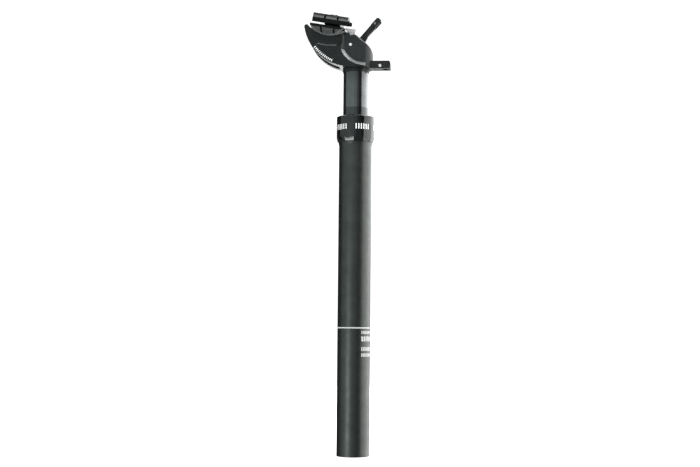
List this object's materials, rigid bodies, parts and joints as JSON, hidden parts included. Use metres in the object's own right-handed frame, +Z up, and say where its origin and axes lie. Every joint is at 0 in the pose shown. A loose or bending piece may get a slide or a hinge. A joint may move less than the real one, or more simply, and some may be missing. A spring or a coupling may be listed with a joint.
{
  "type": "dropper seatpost",
  "caption": "Telescopic bicycle seatpost that is lowered by an under-saddle release lever, with a tilting rail clamp in a round cradle and a cable stop on its head.",
  "frame": {"origin": "on the post's axis at the lower end of the outer tube", "axes": "+Z up the post, +X to the front of the bicycle, towards the lever and the cable stop, +Y to the rider's left"},
  "size_m": [0.0717, 0.056, 0.3691],
  "materials": {
    "tube_anodised": "matt black anodised",
    "collar_anodised": "gloss black anodised",
    "post_anodised": "polished black anodised",
    "head_paint": "satin black",
    "clamp_paint": "satin black",
    "steel": "bright",
    "dark_steel": "blackened",
    "alloy": "machined",
    "bronze": "machined",
    "rubber": "matt",
    "bush_plastic": "moulded"
  },
  "bodies": {
    "outer": {"outer_tube": "tube_anodised", "collar": "collar_anodised", "collar_o_ring": "rubber", "upper_bushing": "bush_plastic", "inner_seal": "rubber", "wiper_seal": "rubber", "base_plug": "alloy", "base_circlips": "dark_steel", "rod_bolt": "dark_steel", "bump_stop": "rubber", "piston_rod": "steel", "piston": "bronze", "piston_ring": "bush_plastic", "piston_nut": "dark_steel"},
    "inner_post": {"stanchion": "post_anodised", "lower_guide_bush": "bush_plastic", "anti_rotation_keys": "bronze", "post_end_nut": "alloy", "cartridge_cylinder": "alloy", "rod_guide": "bronze", "rod_seal": "rubber", "valve_body": "alloy", "valve_o_ring": "rubber", "cartridge_spacer": "alloy", "head": "head_paint", "lever_pivot_pin": "steel", "cable_stop_screw": "steel"},
    "valve_pin": {"valve_pin": "steel"},
    "lever": {"release_lever": "head_paint", "lever_bushes": "bronze", "cable_anchor": "steel"},
    "saddle_clamp": {"lower_clamp": "clamp_paint", "clamp_bolt": "dark_steel", "curved_washer": "dark_steel"},
    "upper_clamp": {"upper_clamp": "clamp_paint", "nut_washer": "alloy", "clamp_nut": "steel"}
  },
  "joints": [
    {"name": "post_travel", "type": "slide", "parent": "outer", "child": "inner_post", "axis": [0, 0, 1], "range_m": [-0.034, 0.066]},
    {"name": "lever_pull", "type": "hinge", "parent": "inner_post", "child": "lever", "pos_m": [-0.0039, 0, 0.3412], "axis": [0, 1, 0], "range_deg": [0, 14], "stiffness_Nm_per_rad": 0.3, "springref_deg": -5.73},
    {"name": "valve_push", "type": "slide", "parent": "inner_post", "child": "valve_pin", "axis": [0, 0, -1], "range_m": [0, 0.00095]},
    {"name": "clamp_tilt", "type": "hinge", "parent": "inner_post", "child": "saddle_clamp", "pos_m": [-0.0196, 0, 0.3739], "axis": [0, 1, 0], "range_deg": [-6, 8]},
    {"name": "clamp_open", "type": "slide", "parent": "saddle_clamp", "child": "upper_clamp", "axis": [0.165, 0, 0.9863], "range_m": [0, 0.004]}
  ],
  "couplings": [
    {"joint": "valve_push", "follows": "lever_pull", "m_per_rad": 0.0037}
  ]
}
